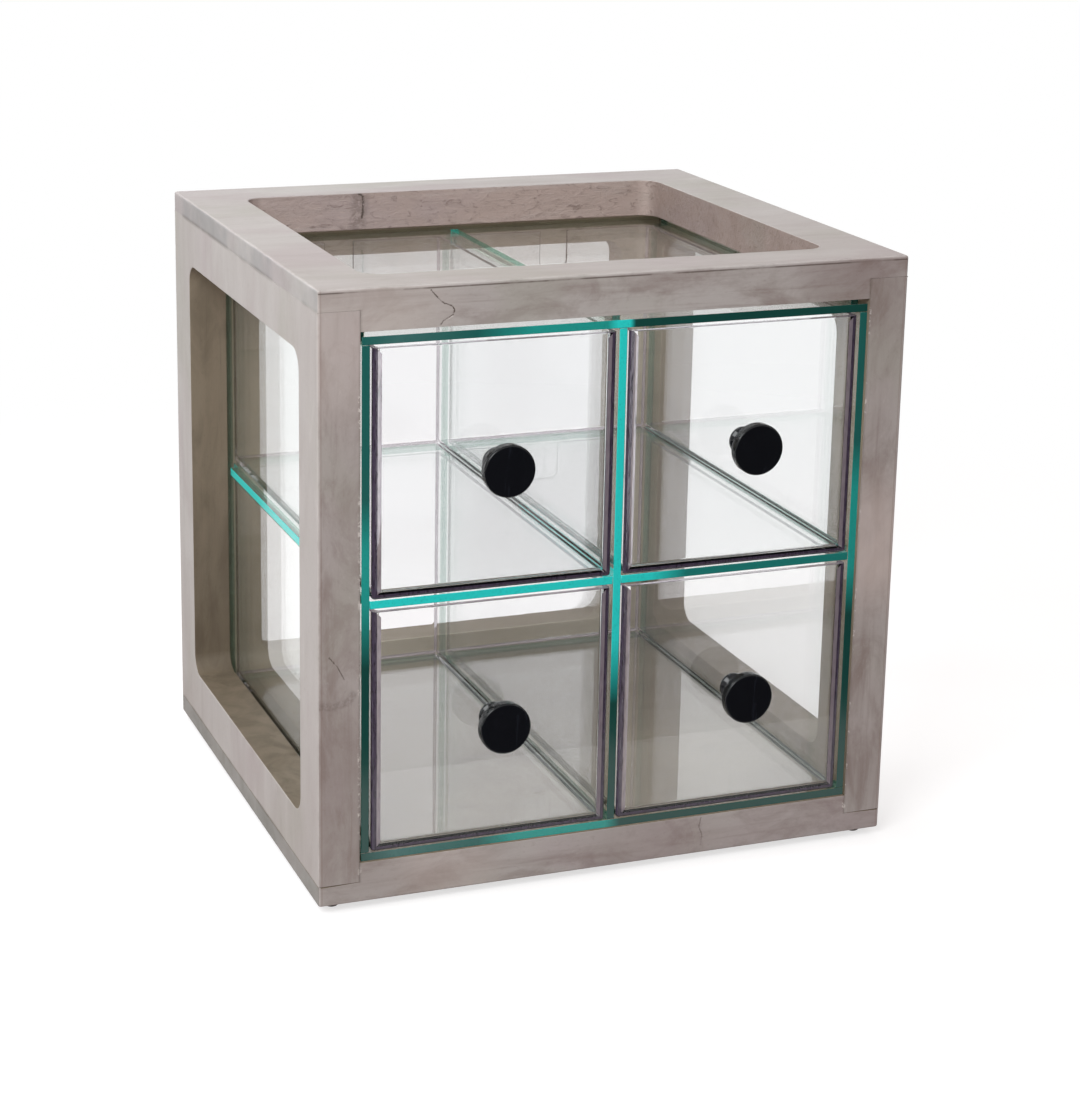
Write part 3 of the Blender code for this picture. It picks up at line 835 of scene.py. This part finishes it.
def buildLiner():
    gap, past, half = liner["gap"], liner["past"], liner["sheet"] / 2 + liner["gap"]
    lowest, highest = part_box("liner_bottom")[0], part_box("liner_top")[1]
    front, rear = lowest.y, highest.y
    tabFront, tabRear = front + liner["tabInset"] - gap, rear - liner["tabInset"] + gap
    for node, name in (("liner_top", "topSheet"), ("liner_bottom", "bottomSheet")):
        low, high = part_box(node)
        sheet = addBlock(name, low, high)
        inner = high.x - liner["sheet"] - gap
        for left, right in ((-high.x - past, -inner), (inner, high.x + past), (-half, half)):
            cutAway(sheet, addBlock("slotTool", (left, tabFront, low.z - past), (right, tabRear, high.z + past)))
        finishSheet(sheet, node, 2)

    shelfLow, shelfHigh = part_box("shelf")
    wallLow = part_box("liner_bottom")[1].z + gap
    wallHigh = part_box("liner_top")[0].z - gap
    tabs = ((front - past, tabFront + gap), (tabRear - gap, rear + past))
    for node, name in (("liner_left", "leftSheet"), ("liner_right", "rightSheet"), ("divider", "dividerSheet")):
        low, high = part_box(node)
        left, right = low.x - past, high.x + past
        sheet = addBlock(name, low, high)
        for start, end in tabs:  # what is left beside the tabs
            cutAway(sheet, addBlock("tabTool", (left, start, wallHigh), (right, end, high.z + past)))
            cutAway(sheet, addBlock("tabTool", (left, start, low.z - past), (right, end, wallLow)))
        start, end = (rear - liner["halving"], rear + past) if node == "divider" else (tabFront, tabRear)
        cutAway(sheet, addBlock("slotTool", (left, start, shelfLow.z - gap), (right, end, shelfHigh.z + gap)))
        finishSheet(sheet, node, 0)

    sheet = addBlock("shelfSheet", shelfLow, shelfHigh)
    bottom, top = shelfLow.z - past, shelfHigh.z + past
    inner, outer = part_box("liner_right")[0].x - gap, shelfHigh.x + past
    for left, right in ((-outer, -inner), (inner, outer)):
        for start, end in tabs:
            cutAway(sheet, addBlock("tabTool", (left, start, bottom), (right, end, top)))
    cutAway(sheet, addBlock("slotTool", (-half, front - past, bottom), (half, front + liner["halving"], top)))
    finishSheet(sheet, "shelf", 2)
    print("liner sheets slotted together")


buildLiner()


# drawers

drawers = {
    "wall": 0.003,
    "outerRadius": 0.002,
    "innerRadius": 0.003,
    "rim": 0.0005,
    "notch": (0.020, 0.026),
    "notchRadius": 0.005,
    "hole": 0.0023,
    "endShadeBand": 0.0010,  # past the rounding: together the wall's end, as it shows on the front and the back; this band is the purplish end darkened with painted shade, the next a painted highlight
    "endHighlightBand": 0.0024,
    "tint": (0.988, 0.984, 0.992, 1),
    "clearest": (0.996, 0.994, 0.998, 1),
}


def makeMouldedClear():
    clear = shaderBench("mouldedClear")
    raw = clear.here()
    smear = clear.noise(raw, 38.0, 5.0, 0.65)
    bumps = clear.bump(clear.noise(clear.places(raw, (1, 1, 3)), 12.0, 2.0), 0.04, 0.001)
    clear.finish(clear.blend(smear, drawers["tint"], drawers["clearest"]), clear.spread(smear, 0.5, 0.85, 0.0, 0.04),
                 bumps, {"IOR": 1.5, "Transmission Weight": 1.0})
    shadow = clear.add("LightPath").outputs["Is Shadow Ray"]
    return clear.halve(shadow, clear.shader.outputs[0], clear.see((0.96, 0.955, 0.965, 1)))


def makeWallEnd(name, body, depth, amount):  # what shows where the sight runs along inside a wall: serves for the painted shade on the wall's end and for the painted highlight on its inner bend
    end = shaderBench(name)
    lines = end.noise(end.places(end.here(), (30, 30, 4)), 30.0, 4.0, 0.6)
    end.finish(end.blend(end.spread(lines, 0.35, 0.7), body, depth), end.spread(lines, 0.3, 0.7, 0.08, 0.18),
               end.bump(lines, 0.05, 0.0002))
    share = end.spread(lines, 0.3, 0.7, amount, amount + 0.12)
    return end.halve(share, end.see((0.92, 0.91, 0.94, 1)), end.shader.outputs[0])


def buildBin():
    low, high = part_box("lower_left_bin")
    wall, rim = drawers["wall"], drawers["rim"]
    tub = addBlock("lowerLeftTub", low, high)
    pickFaces(tub, lambda centre, normal: normal.z > 0.9)
    bpy.ops.mesh.inset(thickness=wall)
    bpy.ops.mesh.extrude_region_move(TRANSFORM_OT_translate={"value": (0, 0, low.z + wall - high.z)})
    leaveEdit()

    def inner(a, b):
        return all(low.x + wall / 2 < spot.x < high.x - wall / 2 and low.y + wall / 2 < spot.y < high.y - wall / 2
                   for spot in (a, b))

    def level(a, b):
        return a.z > high.z - hair and b.z > high.z - hair
    pickEdges(tub, lambda a, b: inner(a, b) and not level(a, b))
    roundPicked(drawers["innerRadius"], 5)
    pickEdges(tub, lambda a, b: not inner(a, b) and not level(a, b))
    roundPicked(drawers["outerRadius"], 5)
    for face, way, bands in ((low.y, -1, ("endShadeBand", "endHighlightBand")), (high.y, 1, ("endShadeBand",))):
        pickFaces(tub, lambda centre, normal: normal.y * way > 0.9999 and abs(centre.y - face) < 1e-5)
        for band in bands:
            bpy.ops.mesh.inset(thickness=drawers[band])
        leaveEdit()

    middle = (low.x + high.x) / 2
    width, depth = drawers["notch"]
    start = (middle - width / 2, high.y - wall - 0.004, high.z - depth)
    end = (middle + width / 2, high.y + 0.004, high.z + 0.02)
    cutAway(tub, windowTool(start, end, drawers["notchRadius"], 1))
    knobLow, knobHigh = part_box("lower_left_knob")
    knobMiddle = (knobLow + knobHigh) / 2
    cutAway(tub, addRod("holeTool", drawers["hole"], 0.02, (knobMiddle.x, low.y, knobMiddle.z), 48))

    def upperRim(a, b):
        rear = min(a.y, b.y) > high.y - wall - hair and abs(a.y - b.y) < hair
        inNotch = abs(a.x - middle) < width / 2 + hair and a.z > high.z - depth - hair
        return 1.0 if level(a, b) or (rear and inNotch) else 0.0
    breakEdges(tub, rim, segments=2, weightFor=upperRim)
    for finish in (makeMouldedClear(), makeWallEnd("mouldedWallEndShade", tone(86, 76, 96), tone(52, 44, 60), 0.80),
                   makeWallEnd("mouldedBendHighlight", tone(188, 178, 188), tone(150, 140, 152), 0.50)):
        tub.data.materials.append(finish)
    clear, shadedEnd, highlightEnd = 0, 1, 2
    # the painted shade and painted highlight go on the front's and back's outer rounding and on the rim
    dark = drawers["outerRadius"] + drawers["endShadeBand"]
    for face in tub.data.polygons:
        spot, normal = face.center, face.normal
        beside = min(spot.x - low.x, high.x - spot.x)
        nearest = min(beside, spot.z - low.z)
        fromFront, fromBack = spot.y - low.y, high.y - spot.y
        face.material_index = clear
        if normal.z > 0.3 and spot.z > high.z - 2 * rim:
            face.material_index = highlightEnd if normal.z > 0.95 else shadedEnd
        elif normal.y < -0.1 and fromFront < drawers["outerRadius"]:
            if nearest < dark - 1e-5:
                face.material_index = shadedEnd
            elif beside < dark + drawers["endHighlightBand"] - 1e-5:
                face.material_index = highlightEnd
        elif normal.y > 0.1 and fromBack < drawers["outerRadius"] and nearest < dark - 1e-5:
            face.material_index = highlightEnd
    lightPasses(tub)
    return tub


knobs = {
    "flange": (0.0086, 0.0030),  # radius, and height off the drawer's front
    "neck": (0.0065, 0.0050),
    "cap": (0.0155, 0.0180),
    "reach": 0.0245,
    "lift": 0.0003,
    "edge": 0.0011,
    "black": (tone(10, 12, 15), tone(17, 20, 24)),
    # the next tone is a painted reflection: blue-grey streaks on the black
    "paintedReflection": tone(34, 39, 47),
}


def makeBlackPlastic():
    black = shaderBench("knobBlack")
    raw = black.here()
    haze = black.noise(raw, 90.0, 4.0)
    # painted reflection: slanted blue-grey streaks over the black
    slanted = black.places(black.places(raw, (1, 1, 0.18)), turn=(0, math.radians(35), 0))
    paintedStreaks = black.spread(black.noise(slanted, 150.0, 3.0, 0.5), 0.58, 0.74, 0, 0.8)
    colour = black.blend(paintedStreaks, black.blend(haze, *knobs["black"]), knobs["paintedReflection"])
    bumps = black.bump(black.noise(raw, 900.0, 3.0), 0.05, 0.0002)
    return black.finish(colour, black.spread(haze, 0.3, 0.8, 0.05, 0.10), bumps, {"Specular IOR Level": 0.32})


def turnUp(name, centre, steps):  # a disc drawn up through (radius, height) steps, then laid to face -Y
    deselectAll()
    radius, height = steps[0]
    bpy.ops.mesh.primitive_circle_add(vertices=96, radius=radius, fill_type="NGON", location=(0, 0, height))
    piece = settle(name)
    bpy.ops.object.mode_set(mode="EDIT")
    bpy.context.tool_settings.mesh_select_mode = (False, False, True)
    bpy.ops.mesh.select_all(action="SELECT")
    for nextRadius, nextHeight in steps[1:]:
        bpy.ops.mesh.extrude_region_move(TRANSFORM_OT_translate={"value": (0, 0, nextHeight - height)})
        share = nextRadius / radius
        bpy.ops.transform.resize(value=(share, share, 1), center_override=(0, 0, nextHeight))
        radius, height = nextRadius, nextHeight
    bpy.ops.mesh.select_all(action="SELECT")
    bpy.ops.mesh.normals_make_consistent(inside=False)
    leaveEdit()
    piece.rotation_euler = (math.radians(90), 0, 0)
    piece.location = centre
    makeActive(piece)
    return settle(name)


def buildKnob():
    low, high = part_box("lower_left_knob")
    middle = (low + high) / 2
    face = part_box("lower_left_bin")[0].y
    flange, neck, cap = knobs["flange"], knobs["neck"], knobs["cap"]
    steps = [(flange[0], knobs["lift"]), flange, neck, (neck[0], cap[1]), cap, (cap[0], knobs["reach"])]
    knob = turnUp("lowerLeftGrip", (middle.x, face, middle.z), steps)
    breakEdges(knob, knobs["edge"], sharpness=50, segments=4)
    knob.data.materials.append(makeBlackPlastic())
    return knob


def makeMetal(name, colour, roughness):
    metal = shaderBench(name)
    raw = metal.here()
    cloud = metal.noise(raw, 200.0, 3.0)
    wearAndSheen = metal.spread(cloud, 0.3, 0.7, roughness, roughness + 0.12)
    bumps = metal.bump(metal.noise(raw, 1400.0, 3.0), 0.1, 0.0001)
    return metal.finish(metal.blend(cloud, colour, tone(120, 118, 112)), wearAndSheen, bumps, {"Metallic": 1.0})


screws = {
    "head": (0.004, 0.0026),  # radius and height
    "shank": 0.002,
    "washer": (0.005, 0.0023, 0.0008),
    "recess": (0.0013, 0.0014),
}


def buildScrew(material):
    low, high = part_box("lower_left_knob_screw")
    middle = (low + high) / 2
    headRadius, headHeight = screws["head"]
    seat = high.y - headHeight
    screw = addRod("lowerLeftScrew", headRadius, headHeight, (middle.x, seat + headHeight / 2, middle.z))
    pickFaces(screw, lambda centre, normal: normal.y < -0.9)
    bpy.ops.mesh.inset(thickness=headRadius - screws["shank"])
    bpy.ops.mesh.extrude_region_move(TRANSFORM_OT_translate={"value": (0, low.y - seat, 0)})
    leaveEdit()
    recessRadius, recessDepth = screws["recess"]
    cutAway(screw, addRod("recessTool", recessRadius, 2 * recessDepth, (middle.x, high.y, middle.z), 6))
    breakEdges(screw, 0.0004, sharpness=50, segments=3)
    screw.data.materials.append(material)
    return screw


def buildWasher(material):
    low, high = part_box("lower_left_knob_washer")
    middle = (low + high) / 2
    outer, bore, thick = screws["washer"]
    washer = addRod("lowerLeftWasher", outer, thick, middle)
    cutAway(washer, addRod("boreTool", bore, 0.01, middle))
    breakEdges(washer, 0.00012, sharpness=50, segments=1)
    washer.data.materials.append(material)
    return washer


def buildDrawers():
    steel = makeMetal("zincSteel", tone(178, 178, 174), 0.26)
    first = {
        "bin": (buildBin(), "Tub", "clear_plastic"),
        "knob": (buildKnob(), "Grip", "black_plastic"),
        "knob_screw": (buildScrew(steel), "Screw", "steel"),
        "knob_washer": (buildWasher(steel), "Washer", "steel"),
    }
    brass = makeMetal("knobBrass", tone(196, 160, 92), 0.24)
    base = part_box("lower_left_bin")[0]
    ready = []  # a copy takes over its model's parent, so all copies are made before any is attached
    for level in ("lower", "upper"):
        for side in ("left", "right"):
            place = level + "_" + side + "_"
            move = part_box(place + "bin")[0] - base
            for part, (model, ending, finish) in first.items():
                own = place == "lower_left_"
                piece = model if own else copyMoved(model, level + side.capitalize() + ending, move)
                ready.append((piece, place + "drawer", place + part, finish))
            insert = nodes[place + "knob_insert"]
            insert.data.materials.clear()
            insert.data.materials.append(brass)
    for made in ready:
        standIn(*made)
    print("four drawers with their knobs stand in the liner")


buildDrawers()


# feet

feet = {
    "radius": 0.0055,
    "tip": 0.0035,
    "shoulder": 0.0026,
    "top": 0.0047,
    "edge": 0.0006,
    "rubber": (tone(62, 50, 46), tone(88, 76, 70)),
}


def buildFoot(middle):
    rubber = shaderBench("footRubber")
    dust = rubber.noise(rubber.here(), 420.0, 4.0)
    rubber.finish(rubber.blend(dust, *feet["rubber"]), rubber.spread(dust, 0.3, 0.7, 0.55, 0.75),
                  rubber.bump(dust, 0.15, 0.0002))
    deselectAll()
    centre = (middle.x, middle.y, (feet["top"] + feet["shoulder"]) / 2)
    bpy.ops.mesh.primitive_cylinder_add(vertices=48, radius=feet["radius"], location=centre,
                                        depth=feet["top"] - feet["shoulder"])
    foot = settle("frontLeftFoot")
    pickFaces(foot, lambda centre, normal: normal.z < -0.9)
    share = feet["tip"] / feet["radius"]
    bpy.ops.mesh.extrude_region_move(TRANSFORM_OT_translate={"value": (0, 0, -feet["shoulder"])})
    bpy.ops.transform.resize(value=(share, share, 1), center_override=(middle.x, middle.y, 0))
    leaveEdit()
    breakEdges(foot, feet["edge"], sharpness=25, segments=3)
    foot.data.materials.append(rubber.material)
    return foot


def buildFeet():
    low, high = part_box("foot_front_left")
    first = (low + high) / 2
    model = buildFoot(first)
    ready = [(model, "foot_front_left")]
    for end, side in (("front", "right"), ("back", "left"), ("back", "right")):
        node = "foot_" + end + "_" + side
        low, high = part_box(node)
        ready.append((copyMoved(model, end + side.capitalize() + "Foot", (low + high) / 2 - first), node))
    for foot, node in ready:
        standIn(foot, "case", node, "rubber")
    print("four feet under the case")


buildFeet()
